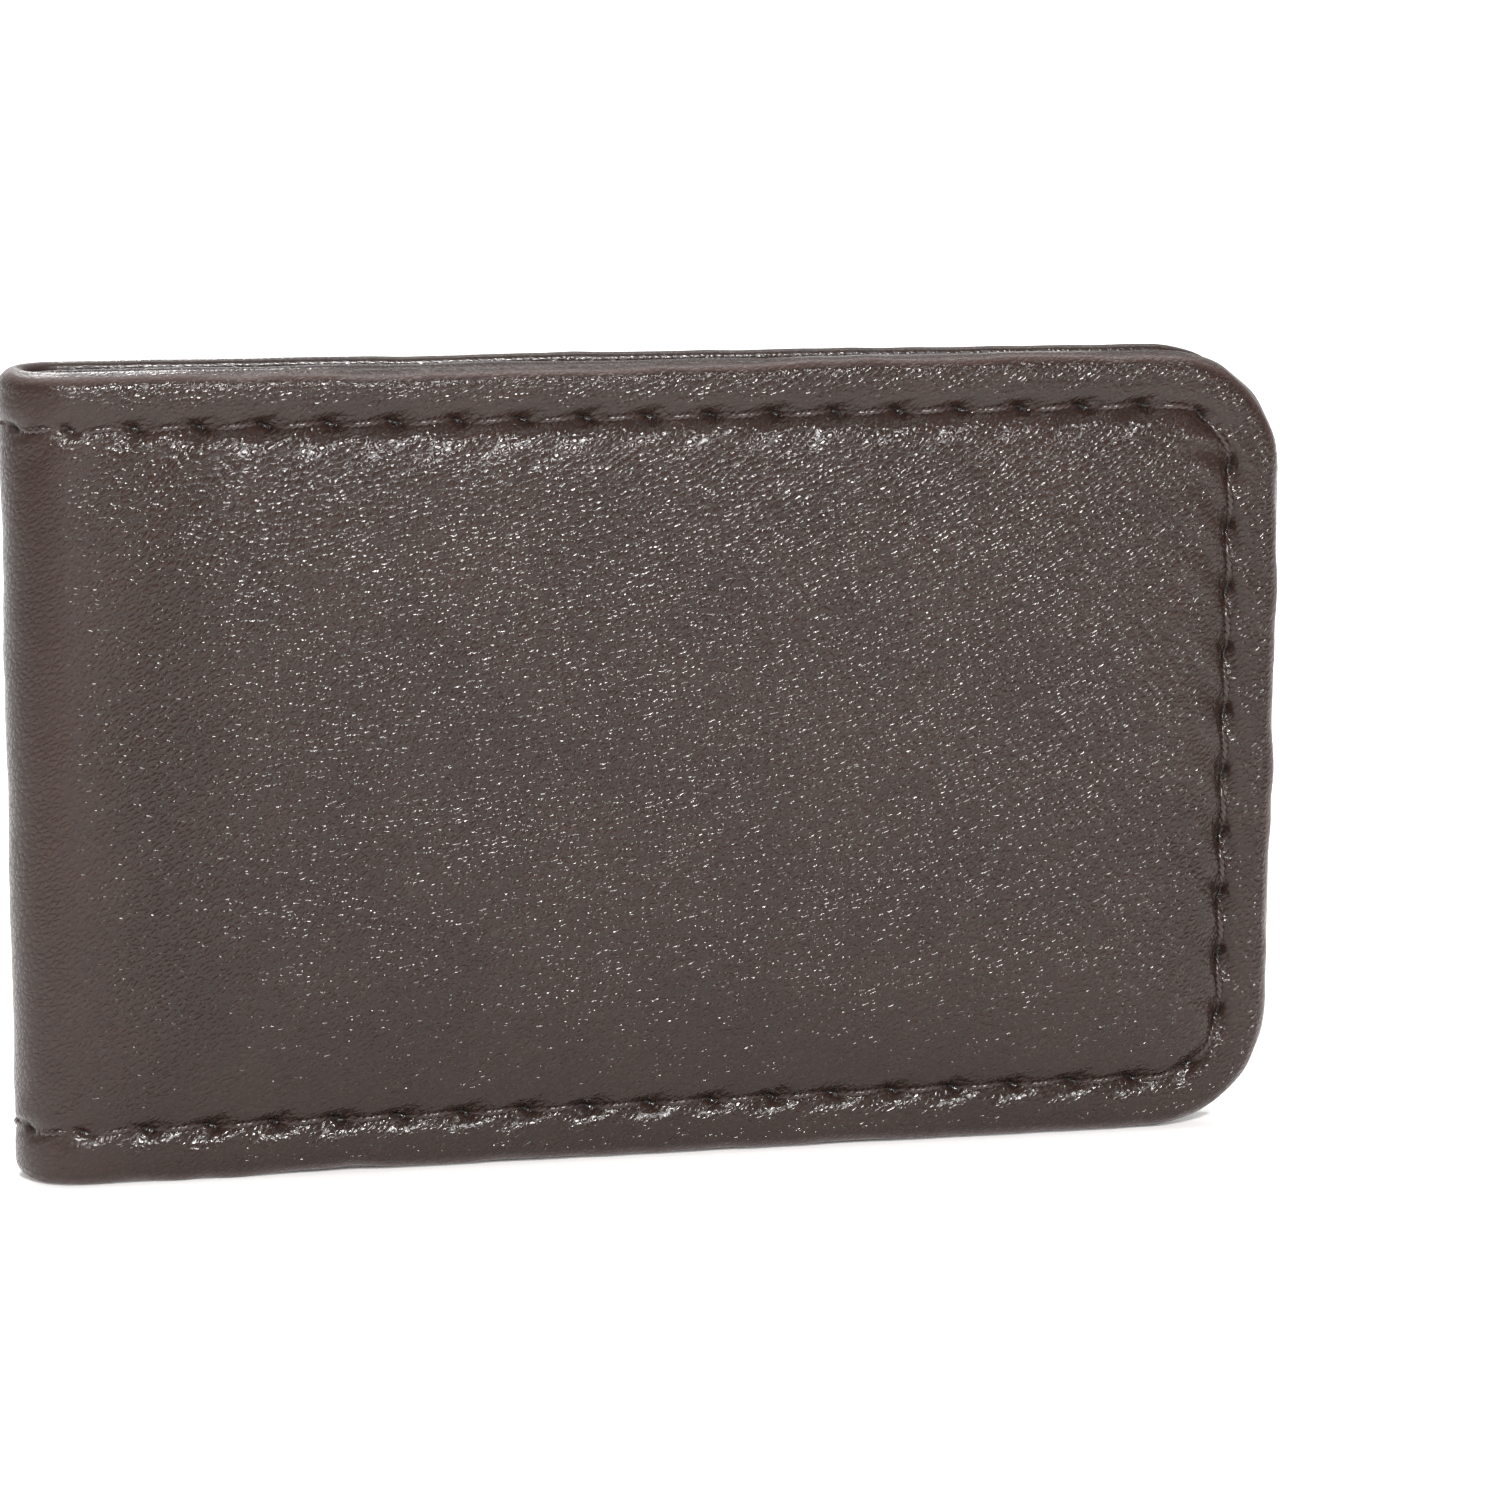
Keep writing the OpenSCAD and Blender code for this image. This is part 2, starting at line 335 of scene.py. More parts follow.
def edge_profile(low_u, high_u, low_r, high_r, low_d, high_d, inset=0.0):
    """Section round an edge, from the inner middle to the outer middle, as (d, u, face)."""
    low = [(d, low_u) for d in low_d]
    round_low = quarter(inset + low_r, low_u + low_r, low_r, 1.5 * math.pi, 5)
    round_low = [(2 * (inset + low_r) - d, u) for d, u in round_low]
    round_high = quarter(inset + high_r, high_u - high_r, high_r, math.pi / 2, 10)[::-1]
    points = low + round_low + round_high[1:] + [(d, high_u) for d in high_d]
    middle_u = low_u + low_r
    return [(d, u, ease((u - middle_u) / (high_u - middle_u) * 1.2)) for d, u in points]


def seam_place(v, part):
    """Signed stitch count along the seam, and the local stitch length."""
    if part == "fold":
        t = (FOLD_L - v["w"]) / FOLD_STITCH
        return np.where(v["y"] > HEIGHT / 2, t, -t), FOLD_STITCH
    t = v["s"] / STITCH
    length = FOLD_STITCH + (STITCH - FOLD_STITCH) * ease(v["x"] / STITCH)
    return (t if part == "front" else -t), length


def seam_relief(v, part, groove):
    """Height of the seam's valley, needle holes, puckers and fine creases over the plain leather."""
    t, length = seam_place(v, part)
    e = v["d"] - SEAM_D
    near = v["d"] < RING_END
    to_hole = (t - np.round(t)) * length
    uneven = 1 + 0.35 * waves(v["w"], v["y"], 5, 5.0)
    valley = -groove * bell(e, GROOVE_W) * (1 + 0.3 * np.cos(2 * math.pi * t))
    hole = -HOLE * bell(np.hypot(to_hole, HOLE_NARROW * (e + HOLE_LEAN * to_hole)), HOLE_L)
    ridge = np.cos(2 * math.pi * (t - SLANT * e / length) + math.pi)
    reach = np.where(e > 0, PUCKER_IN, PUCKER_OUT)
    pucker = PUCKER * uneven * ridge * np.exp(-np.abs(e) / reach) * (1 - bell(e, 0.3))
    crease = CREASE * np.cos(6 * math.pi * (t - 1.6 * SLANT * e / length)) * np.exp(-np.abs(e) / CREASE_REACH)
    # depth of the needle holes, 0 to 1, also used for painted shade in them
    v["hole"] = np.where(near, -hole / HOLE, 0)
    return np.where(near, valley + hole + (pucker + crease) * (groove / GROOVE), 0)


def panel_lift(v):
    """Height of the padded panel over the plain outer face, with the slow bumps in it."""
    rise = 1 - np.exp(-((np.clip(v["d"] - SEAM_D, 0, None) / PANEL_EDGE) ** 1.4))
    from_side = np.minimum(v["y"], HEIGHT - v["y"]) - SEAM_D
    across = 1 - np.clip(1 - from_side / (HEIGHT / 2 - SEAM_D), 0, 1) ** CROWN_POWER
    length = 1 - np.clip(1 - (FLAP_L - v["x"] - SEAM_D) / CROWN_REACH, 0, 1) ** CROWN_POWER
    crown = np.clip(across, 0, 1) * np.clip(length, 0, 1)
    height = (RISE_SHARE * rise + (1 - RISE_SHARE) * crown) * (PANEL_U - BAND_U)
    bumps = 0.03 * waves(v["w"], v["y"], 11, 9.0) * ease(v["d"] / 4)
    return height * ease(v["x"] / POCKET_X) + bumps


def cover_lift(v, part):
    """Height added to the plain outer face of the cover."""
    bead = 0.05 * bell(v["d"] - 1.7, 0.7)
    small = 0.015 * waves(v["w"], v["y"], 12, 3.2)
    return panel_lift(v) + bead + small + seam_relief(v, part, v["groove"])


def finish_cover(v, part):
    """Moves a cover's flat coordinates onto its sculpted surface."""
    v["groove"] = GROOVE_FOLD + (GROOVE - GROOVE_FOLD) * ease(v["x"] / 6)
    lift = cover_lift(v, part)
    u = v["u"] + lift * v["outer"]
    under = np.clip(BAND_U + lift - COVER_T, BOARD_TOP_U + 0.02, None)
    pocket = ease((v["d"] - POCKET_D + 0.25) / 0.3) * ease((v["x"] - POCKET_X + 0.4) / 0.4)
    tape = ease((v["d"] - TAPE_D) / 0.15) * ease((TAPE_X - v["x"]) / 0.5)
    hollow = pocket * (under - LINING_T) + (BAND_U - COVER_T - LINING_T) * tape * (1 - pocket)
    u = np.where(v["outer"] == 0, u + hollow, u)
    edge = bell(v["d"], 1.1) * ease(v["outer"] * 3 + 0.4)
    (long_h, long_l), (short_h, short_l) = EDGE_WAVES
    sway = long_h * waves(v["w"] + v["y"], 0, 21, long_l) + short_h * waves(v["w"], v["y"], 22, short_l)
    turn = np.abs(v["out_x"] * v["out_y"]) * 2
    folds = 0.5 + 0.5 * np.cos(PLEATS * np.arctan2(v["out_y"], v["out_x"]))
    pleat = -PLEAT * turn * folds * (1 - v["outer"])
    if part == "front":
        sway = sway - SAG * bell(v["x"] - SAG_X, SAG_REACH) * (v["out_y"] > 0)
    sway = (sway - DRAWN_IN) * edge + pleat * bell(v["d"], 0.9)
    v["x"] = v["x"] + v["out_x"] * sway
    v["y"] = v["y"] + v["out_y"] * sway
    v["u"] = u
    # mask for colour: near the turned edge a paler tint, partly edge wear and partly a painted highlight;
    # negative in the needle holes, for painted shade
    v["wear"] = (bell(v["d"] - 0.1, 0.5) - v["hole"]) * v["outer"]
    band = ease((SEAM_D - 0.1 - v["d"]) / 0.4) * ease((v["d"] - 1.1) / 0.4)
    v["smooth"] = BAND_SMOOTH * band + EDGE_SMOOTH * ease((0.6 - v["d"]) / 0.25)
    return v


def finish_lining(v, part):
    """Moves the lining's flat coordinates onto its surface: its inner face is the one that shows."""
    relief = seam_relief(v, part, np.full_like(v["d"], GROOVE_LINING))
    bumps = 0.02 * waves(v["w"], v["y"], 31, 6.0)
    magnets = 0
    for node in ("back_upper_magnet", "back_lower_magnet"):
        low, high = box_mm(node)
        within = 1
        for place, axis, start in (("x", 0, AXIS[0]), ("y", 2, 0)):
            middle, half = (low[axis] + high[axis]) / 2 - start, (high[axis] - low[axis]) / 2
            within = within * ease(1 + (half - np.abs(v[place] - middle)) / MAGNET_BLUR)
        magnets = magnets + MAGNET_LIFT * within
    v["u"] = v["u"] - (relief * 0.8 + bumps + magnets) * (1 - v["outer"])
    sway = (0.05 * waves(v["w"] + v["y"], 0, 33, 8.0) - 0.02) * bell(v["d"] - LINING_INSET, 0.6)
    v["x"] = v["x"] + v["out_x"] * sway
    v["y"] = v["y"] + v["out_y"] * sway
    # mask for colour: darker along the lining's edge; negative in the needle holes, for painted shade
    v["wear"] = bell(v["d"] - LINING_INSET, 0.5) - v["hole"] * (1 - v["outer"])
    v["smooth"] = np.zeros_like(v["d"])
    return v


# ---------- one layer of leather: back flap, fold strips, front flap ----------

FOLD_RINGS = 14


def layer(profile, finish):
    """All the pieces of one layer: dicts of points, faces, caps, flat coordinates, a mask of edge wear and
    painted light, and smoothness.
    """
    flaps = []
    for side in ("back", "front"):
        v, faces, loop = flap_shell(profile)
        v["w"] = along_strip(side, v["x"])
        flat = np.stack([v["w"], v["y"], v["u"]], -1)
        section = {key: v[key][loop].copy() for key in v}
        v = finish(v, side)
        points = on_flap(side, v["x"], v["y"], v["u"])
        caps = section_caps(loop)
        if side == "back":
            faces, caps = [f[::-1] for f in faces], [f[::-1] for f in caps]
        piece = dict(points=points, faces=faces, caps=caps, flat=flat, wear=v["wear"], smooth=v["smooth"])
        flaps.append(piece)
    strips = [strip_of_layer(k, section, finish) for k in range(STRIPS)]
    return [flaps[0]] + strips + [flaps[1]]


def strip_of_layer(k, section, finish):
    """The section of a layer swept over one step of the fold."""
    n = len(section["y"])
    v = {key: np.tile(section[key], FOLD_RINGS + 1) for key in section}
    angle = np.repeat(np.linspace(k, k + 1, FOLD_RINGS + 1) * STEP, n)
    v["w"], v["x"] = angle * OUTER_R, np.zeros_like(angle)
    flat = np.stack([v["w"], v["y"], v["u"]], -1)
    v = finish(v, "fold")
    faces, _ = ring_faces(FOLD_RINGS + 1, n)
    first = section_caps(np.arange(n))
    last = section_caps(np.arange(n) + FOLD_RINGS * n)
    caps = first + [f[::-1] for f in last]
    points = on_fold(angle, v["y"], v["u"])
    return dict(points=points, faces=faces, caps=caps, flat=flat, wear=v["wear"], smooth=v["smooth"])


def ring_faces(rings, n):
    """Faces of a closed tube of rings, and its two end caps."""
    faces = []
    for r in range(rings - 1):
        for i in range(n):
            j = (i + 1) % n
            faces.append((r * n + i, (r + 1) * n + i, (r + 1) * n + j, r * n + j))
    last = (rings - 1) * n
    return faces, [tuple(range(n)), tuple(last + i for i in range(n))[::-1]]


def face_normals(points, faces):
    """Area-weighted normals of faces with the same number of corners."""
    corner = points[faces]
    return sum(np.cross(corner[:, i] - corner[:, 0], corner[:, i + 1] - corner[:, 0])
               for i in range(1, faces.shape[1] - 1))


def shared_normals(pieces):
    """Smooth normals that run on across the cuts between pieces; caps don't count."""
    points = np.concatenate([p["points"] for p in pieces])
    _, where = np.unique(np.round(points, 4), axis=0, return_inverse=True)
    where = where.ravel()
    total = np.zeros((where.max() + 1, 3))
    start = 0
    for piece in pieces:
        for corners in {len(f) for f in piece["faces"]}:
            faces = np.array([f for f in piece["faces"] if len(f) == corners])
            normals = face_normals(piece["points"], faces)
            for i in range(corners):
                np.add.at(total, where[start + faces[:, i]], normals)
        start += len(piece["points"])
    total /= np.maximum(np.linalg.norm(total, axis=1, keepdims=True), 1e-12)
    ends = np.cumsum([len(p["points"]) for p in pieces])[:-1]
    return np.split(total[where], ends)


def make_mesh(name, piece, material, normals=None):
    mesh = bpy.data.meshes.new(name)
    faces, caps = piece["faces"], piece["caps"]
    every = [tuple(int(i) for i in f) for f in faces + caps]
    mesh.from_pydata((piece["points"] * MM).tolist(), [], every)
    mesh.polygons.foreach_set("use_smooth", np.ones(len(every), bool))
    flat = mesh.attributes.new("flat", "FLOAT_VECTOR", "POINT")
    flat.data.foreach_set("vector", piece["flat"].astype(np.float32).ravel())
    for key in ("wear", "smooth"):
        if key in piece:
            values = mesh.attributes.new(key, "FLOAT", "POINT")
            values.data.foreach_set("value", piece[key].astype(np.float32))
    if normals is not None:
        loops = np.zeros(len(mesh.loops), np.int32)
        mesh.loops.foreach_get("vertex_index", loops)
        custom = normals[loops]
        for face in mesh.polygons[len(faces):]:
            custom[face.loop_start:face.loop_start + face.loop_total] = face.normal
        mesh.normals_split_custom_set(custom.tolist())
    mesh.materials.append(material)
    obj = bpy.data.objects.new(name, mesh)
    bpy.context.scene.collection.objects.link(obj)
    return obj


def bend_strip(obj):
    """Bakes a fold piece's transform into its mesh; nothing bends it between bodies."""
    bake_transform(obj)


def place_strip(name, nodes, pieces, material):
    """Makes the pieces of one strip of leather or thread: (name, nodes) are as in front_NAME, front_NODES."""
    normals = shared_normals(pieces)
    for k, piece in enumerate(pieces):
        if k in (0, STRIPS + 1):
            side = "front" if k else "back"
            obj = make_mesh(f"{side}_{name}", piece, material, normals[k])
            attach(obj, f"{side}_flap")
            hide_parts(f"{side}_{nodes}")
        else:
            obj = make_mesh(f"fold_{name}_{k}", piece, material, normals[k])
            bend_strip(obj)
            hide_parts(*[f"fold_{nodes}_{i}" for i in (k - 1, k) if 0 < i < STRIPS])


# ---------- thread ----------

# Twist: length of one ply's step along the thread, and depth of the grooves between plies
PLY_STEP, PLY_DEPTH = 0.4, 0.35
THREAD_R, SIDES = 0.23, 14
# Half the sideways slant of a stitch, and the share of its length in which it dives into a hole
SLANT_MM, DIVE = 0.22, 0.22
# Heights of the threads: top of a flap's stitch, knot, and top of a stitch over the fold
NEEDLE_U = (BAND_U - 0.18, 0.8, BAND_U - 0.12)
BOBBIN_U = (0.1, 0.75, 0.1)


def seam_xy(s, e):
    """Flat place of a point at seam length s, e inside the seam line."""
    r = CORNER_R - SEAM_D - e
    low = np.clip((s - RUN_L) / BEND_L, 0, 1) * math.pi / 2
    high = np.clip((s - RUN_L - BEND_L - SIDE_L) / BEND_L, 0, 1) * math.pi / 2
    up = np.clip(s - RUN_L - BEND_L, 0, SIDE_L)
    x = np.minimum(np.minimum(s, SEAM_L - s), RUN_L) + r * (np.sin(low) - 1 + np.cos(high))
    y = CORNER_R + up - r * np.cos(low) + r * np.sin(high)
    return x, y


def stitch_path(count, length, top_u, low_u):
    """Seam length, sideways place and height along a row of stitches that dive at their ends."""
    t = np.linspace(0, 1, 33)[:-1]
    s = np.concatenate([(i + t) * length for i in range(count)] + [[count * length]])
    t = np.append(np.tile(t, count), 0)
    dive = bell(t, DIVE) + bell(1 - t, DIVE)
    u = low_u + (top_u - low_u) * np.clip(1 - dive, 0, 1) * (0.8 + 0.2 * np.sin(math.pi * t))
    return s, SLANT_MM * (2 * t - 1) * np.clip(1 - dive, 0, 1), u


def tube(path, out, run):
    """A twisted three-ply thread along a path, whose outward directions are given."""
    tangent = np.gradient(path, axis=0)
    side = np.cross(tangent, out)
    side /= np.linalg.norm(side, axis=1, keepdims=True)
    out = np.cross(side, tangent)
    out /= np.linalg.norm(out, axis=1, keepdims=True)
    theta = np.linspace(0, 2 * math.pi, SIDES, endpoint=False)
    ply = 3 * theta[None] - 2 * math.pi * run[:, None] / PLY_STEP
    r = THREAD_R * (1 - PLY_DEPTH * (0.5 - 0.5 * np.cos(ply)))[..., None]
    cos, sin = np.cos(theta)[:, None], np.sin(theta)[:, None]
    ring = path[:, None] + r * (side[:, None] * cos + out[:, None] * sin)
    along, around = np.broadcast_arrays(run[:, None], theta * THREAD_R)
    # the last value is 1 at the bottom of a groove between plies, for painted shade
    return ring, np.stack([along, around, np.zeros_like(ply)], -1), 0.5 - 0.5 * np.cos(ply)


def tube_piece(parts):
    """One piece from tubes given as (ring, flat, mask of painted shade between the plies)."""
    piece = dict(points=[], faces=[], caps=[], flat=[], wear=[])
    start = 0
    for ring, flat, wear in parts:
        faces, caps = ring_faces(len(ring), SIDES)
        piece["faces"] += [tuple(start + i for i in f) for f in faces]
        piece["caps"] += [tuple(start + i for i in f) for f in caps]
        for key, value in (("points", ring), ("flat", flat)):
            piece[key].append(value.reshape(-1, 3))
        piece["wear"].append(wear.ravel())
        start += ring.shape[0] * SIDES
    for key in ("points", "flat", "wear"):
        piece[key] = np.concatenate(piece[key])
    return piece


def thread_pieces(top_u, low_u, fold_u):
    """The thread on both flaps, and its two rows over each strip of the fold."""
    flaps = []
    for side, sign in (("back", -1), ("front", 1)):
        s, e, u = stitch_path(STITCHES, STITCH, top_u, low_u)
        x, y = seam_xy(s, e * sign)
        path = on_flap(side, x, y, u)
        flaps.append(tube_piece([tube(path, on_flap(side, x, y, u + 1) - path, s)]))
    s, e, u = stitch_path(FOLD_STITCHES, FOLD_STITCH, fold_u, low_u)
    cuts = np.arange(STRIPS + 1) * STEP
    angle = np.union1d(np.round(s / OUTER_R, 9), np.round(cuts, 9))
    rows = []
    for row in (-1, 1):
        y = HEIGHT / 2 + row * (HEIGHT / 2 - SEAM_D) + np.interp(angle * OUTER_R, s, e)
        height = np.interp(angle * OUTER_R, s, u)
        path = on_fold(angle, y, height)
        rows.append(tube(path, on_fold(angle, y, height + 1) - path, angle * OUTER_R))
    strips = []
    for k in range(STRIPS):
        first, last = np.searchsorted(angle, np.round(cuts[k:k + 2], 9))
        strips.append(tube_piece([tuple(part[first:last + 1] for part in row) for row in rows]))
    return [flaps[0]] + strips + [flaps[1]]


# ---------- foam pads ----------

FOAM_GAP, FOAM_LEAST, FOAM_EDGE = 0.01, 0.06, 0.8
FOAM_COLS, FOAM_ROWS = 72, 46


def foam_pad(side, material):
    """The foam between the board and the cover: flat below, crowned above, feathered at its edge."""
    low, high = box_mm("back_foam_pad")
    x = np.linspace(low[0] - AXIS[0], high[0] - AXIS[0], FOAM_COLS)
    y = np.linspace(low[2], high[2], FOAM_ROWS)
    gx, gy = np.meshgrid(x, y, indexing="ij")
    round_r = CORNER_R - POCKET_D
    cx = np.clip(gx, None, x[-1] - round_r)
    cy = np.clip(gy, y[0] + round_r, y[-1] - round_r)
    far = np.hypot(gx - cx, gy - cy)
    pull = np.where(far > round_r, round_r / np.maximum(far, 1e-9), 1)
    gx, gy = cx + (gx - cx) * pull, cy + (gy - cy) * pull
    v = dict(x=gx.ravel(), y=gy.ravel())
    v["w"] = along_strip(side, v["x"])
    v["d"] = np.minimum(np.minimum(v["y"], HEIGHT - v["y"]), FLAP_L - v["x"])
    top = BAND_U + panel_lift(v) - COVER_T - FOAM_GAP
    edge = np.minimum(np.minimum(v["y"] - y[0], y[-1] - v["y"]), np.minimum(v["x"] - x[0], x[-1] - v["x"]))
    feather = 0.15 + 0.85 * ease(edge / FOAM_EDGE)
    top = BOARD_TOP_U + np.clip(top - BOARD_TOP_U, FOAM_LEAST, None) * feather
    n = gx.size
    points = np.concatenate([on_flap(side, v["x"], v["y"], u) for u in (top, np.full(n, BOARD_TOP_U))])
    ids = np.arange(n).reshape(gx.shape)
    quads = np.stack([ids[:-1, :-1], ids[1:, :-1], ids[1:, 1:], ids[:-1, 1:]], -1).reshape(-1, 4)
    rim = np.concatenate([ids[:, 0], ids[-1, 1:], ids[-2::-1, -1], ids[0, -2:0:-1]])
    after = np.roll(rim, -1)
    walls = np.stack([rim + n, after + n, after, rim], -1)
    faces = [tuple(f) for f in np.concatenate([quads, quads[:, ::-1] + n, walls])]
    if side == "back":
        faces = [f[::-1] for f in faces]
    flat = np.tile(np.stack([v["w"], v["y"], top], -1), (2, 1))
    piece = dict(points=points, faces=faces, caps=[], flat=flat, wear=np.zeros(2 * n))
    obj = make_mesh(f"{side}_foam", piece, material)
    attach(obj, f"{side}_flap")
    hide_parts(f"{side}_foam_pad")


# ---------- materials ----------

class Shader:
    """A small helper to build a node material: each call adds a node and links or sets its inputs."""

    def __init__(self, name):
        self.material = bpy.data.materials.new(name)
        self.material.use_nodes = True
        self.tree = self.material.node_tree
        self.surface = self.tree.nodes["Principled BSDF"]

    def add(self, kind, inputs=(), output=0, **settings):
        node = self.tree.nodes.new(f"ShaderNode{kind}")
        for key, value in settings.items():
            setattr(node, key, value)
        for key, value in dict(inputs).items():
            self.put(node, key, value)
        return node.outputs[output]

    def put(self, node, key, value):
        if isinstance(value, bpy.types.NodeSocket):
            self.tree.links.new(value, node.inputs[key])
        else:
            node.inputs[key].default_value = value

    def set(self, **inputs):
        for key, value in inputs.items():
            self.put(self.surface, key.replace("_", " "), value)

    def math(self, operation, a, b=0.0, c=0.0):
        return self.add("Math", {0: a, 1: b, 2: c}, operation=operation)

    def spread(self, value, low, high, to_low=0.0, to_high=1.0):
        keys = {"Value": value, "From Min": low, "From Max": high, "To Min": to_low, "To Max": to_high}
        return self.add("MapRange", keys, interpolation_type="SMOOTHSTEP")

    def mix(self, fac, a, b):
        mixed = self.add("Mix", {"Factor": fac}, output=2, data_type="RGBA")
        node = mixed.node
        for key, value in ((6, a), (7, b)):
            self.put(node, key, value if isinstance(value, bpy.types.NodeSocket) else (*value, 1.0))
        return mixed

    def flat(self, angle=0.0, stretch=(1, 1, 1)):
        """Coordinates on the unfolded strip, in millimetres, turned by an angle and stretched along it."""
        where = self.add("Attribute", attribute_name="flat", output=1)
        keys = {"Vector": where, "Rotation": (0, 0, math.radians(angle)), "Scale": stretch}
        return self.add("Mapping", keys, vector_type="TEXTURE")

    def noise(self, where, scale, detail=3.0, roughness=0.5):
        keys = {"Vector": where, "Scale": scale, "Detail": detail, "Roughness": roughness}
        return self.add("TexNoise", keys)

    def bump(self, height, distance):
        return self.add("Bump", {"Height": height, "Distance": distance * MM, "Strength": 1.0})


def grain(shader, where, size):
    """Height of pebbled leather grain: rounded cells between soft creases, 0 to 1."""
    shift = shader.add("TexNoise", {"Vector": where, "Scale": 0.9 / size, "Detail": 2.0}, output=1)
    shift = shader.add("VectorMath", {0: shift, 1: (0.5, 0.5, 0.5)}, operation="SUBTRACT")
    shift = shader.add("VectorMath", {0: shift, "Scale": 0.9 * size}, operation="SCALE")
    moved = shader.add("VectorMath", {0: where, 1: shift}, operation="ADD")
    keys = {"Vector": moved, "Scale": 1 / size, "Randomness": 1.0}
    crease = shader.add("TexVoronoi", keys, feature="DISTANCE_TO_EDGE")
    dome = shader.add("TexVoronoi", {**keys, "Smoothness": 0.4}, feature="SMOOTH_F1")
    cells = shader.spread(crease, 0.0, 0.32)
    low = shader.math("MULTIPLY_ADD", dome, -0.55, 0.55)
    return shader.math("ADD", shader.math("MULTIPLY", cells, 0.6), low)


# Colours of the leathers: two plain shades, creases, pits, edge (on the cover paler: wear and a painted
# highlight; on the lining darker), fold (paler: stretched leather and a painted highlight), painted shade in
# the needle holes
COVER_BROWNS = (0.0235, 0.0125, 0.0094), (0.031, 0.0168, 0.0127)
COVER_CREASE, COVER_PIT, COVER_WORN_AND_HIGHLIGHT = (0.016, 0.01, 0.009), (0.018, 0.011, 0.01), (0.075, 0.042, 0.038)
COVER_FOLD = (0.048, 0.0265, 0.0215)
LINING_BROWNS = (0.028, 0.018, 0.016), (0.036, 0.024, 0.021)
LINING_CREASE, LINING_EDGE_DARK = (0.018, 0.011, 0.01), (0.02, 0.014, 0.013)
# painted shade for the needle holes
HOLE_PAINTED_SHADE = (0.006, 0.004, 0.004)
# Size of the pebbles in mm, and depth of the whole relief in mm
COVER_PEBBLE, COVER_RELIEF = 0.28, 0.044
LINING_PEBBLE, LINING_RELIEF = 0.24, 0.03


def cover_leather():
    """Pebbled leather with a gloss on the grain's crests, flatter grain where pressed, a paler fold and
    turned edge that are partly stretched or worn leather and partly a painted highlight, and painted shade in
    the needle holes.
    """
    s = Shader("pebbled_cover_leather")
    wear = s.add("Attribute", attribute_name="wear", output=2)
    along = s.flat(32, (1.7, 1, 1))
    plain = s.flat()
    pebbles = grain(s, along, COVER_PEBBLE)
    medium = s.noise(along, 1.6, 4.0, 0.6)
    fine = s.noise(plain, 11.0, 4.0, 0.7)
    pits = s.spread(s.noise(plain, 0.9, 2.0), 0.3, 0.42, 0.0, 1.0)
    along_w = s.add("SeparateXYZ", {0: plain}).node.outputs[0]
    from_fold = s.math("ABSOLUTE", s.math("SUBTRACT", along_w, FOLD_L / 2))
    folded = s.spread(from_fold, FOLD_L / 2 - 3, FOLD_L / 2 + 5, 1.0, 0.0)
    smooth = s.add("Attribute", attribute_name="smooth", output=2)
    height = s.math("MULTIPLY_ADD", medium, 0.65, s.math("MULTIPLY", pebbles, 0.9))
    height = s.math("MULTIPLY_ADD", fine, 0.18, height)
    height = s.math("MULTIPLY", height, s.math("SUBTRACT", 1.0, smooth))
    height = s.math("MULTIPLY", height, s.spread(folded, 0.0, 1.0, 1.0, 0.55))

    patches = s.noise(plain, 0.16, 3.0, 0.55)
    base = s.mix(s.spread(patches, 0.3, 0.7), *COVER_BROWNS)
    base = s.mix(s.spread(pebbles, 0.25, 0.75, 0.6, 0.0), base, COVER_CREASE)
    base = s.mix(s.spread(pits, 0.0, 1.0, 0.35, 0.0), base, COVER_PIT)
    # paler turned edge: partly worn leather, partly a painted highlight
    base = s.mix(s.spread(wear, 0.3, 1.0, 0.0, 0.5), base, COVER_WORN_AND_HIGHLIGHT)
    # painted shade in the needle holes
    base = s.mix(s.spread(wear, -0.8, -0.1, 0.9, 0.0), base, HOLE_PAINTED_SHADE)
    # paler over the fold: partly stretched leather, partly a painted highlight
    base = s.mix(s.math("MULTIPLY", folded, 0.25), base, COVER_FOLD)
    crest = s.math("MULTIPLY_ADD", fine, 0.5, s.math("MULTIPLY", pebbles, 0.6))
    rough = s.math("MULTIPLY_ADD", folded, 0.15, s.spread(crest, 0.26, 0.54, 0.37, 0.13))
    rough = s.math("MULTIPLY_ADD", smooth, 0.15, rough)
    s.set(Base_Color=base, Specular_IOR_Level=0.37, Roughness=rough, Normal=s.bump(height, COVER_RELIEF))
    return s.material


def lining_leather():
    """Finer and duller leather for the inside."""
    s = Shader("smooth_lining_leather")
    wear = s.add("Attribute", attribute_name="wear", output=2)
    plain = s.flat()
    pebbles = grain(s, plain, LINING_PEBBLE)
    fine = s.noise(plain, 7.0, 4.0, 0.6)
    patches = s.noise(plain, 0.12, 3.0)
    base = s.mix(s.spread(patches, 0.3, 0.7), *LINING_BROWNS)
    base = s.mix(s.spread(pebbles, 0.2, 0.8, 0.35, 0.0), base, LINING_CREASE)
    # darker along the lining's edge
    base = s.mix(s.spread(wear, 0.3, 1.0, 0.0, 0.5), base, LINING_EDGE_DARK)
    # painted shade in the needle holes
    base = s.mix(s.spread(wear, -0.8, -0.1, 0.9, 0.0), base, HOLE_PAINTED_SHADE)
    height = s.math("MULTIPLY_ADD", fine, 0.25, pebbles)
    s.set(Base_Color=base, Roughness=s.spread(fine, 0.3, 0.7, 0.42, 0.58), Specular_IOR_Level=0.4)
    s.set(Normal=s.bump(height, LINING_RELIEF))
    return s.material


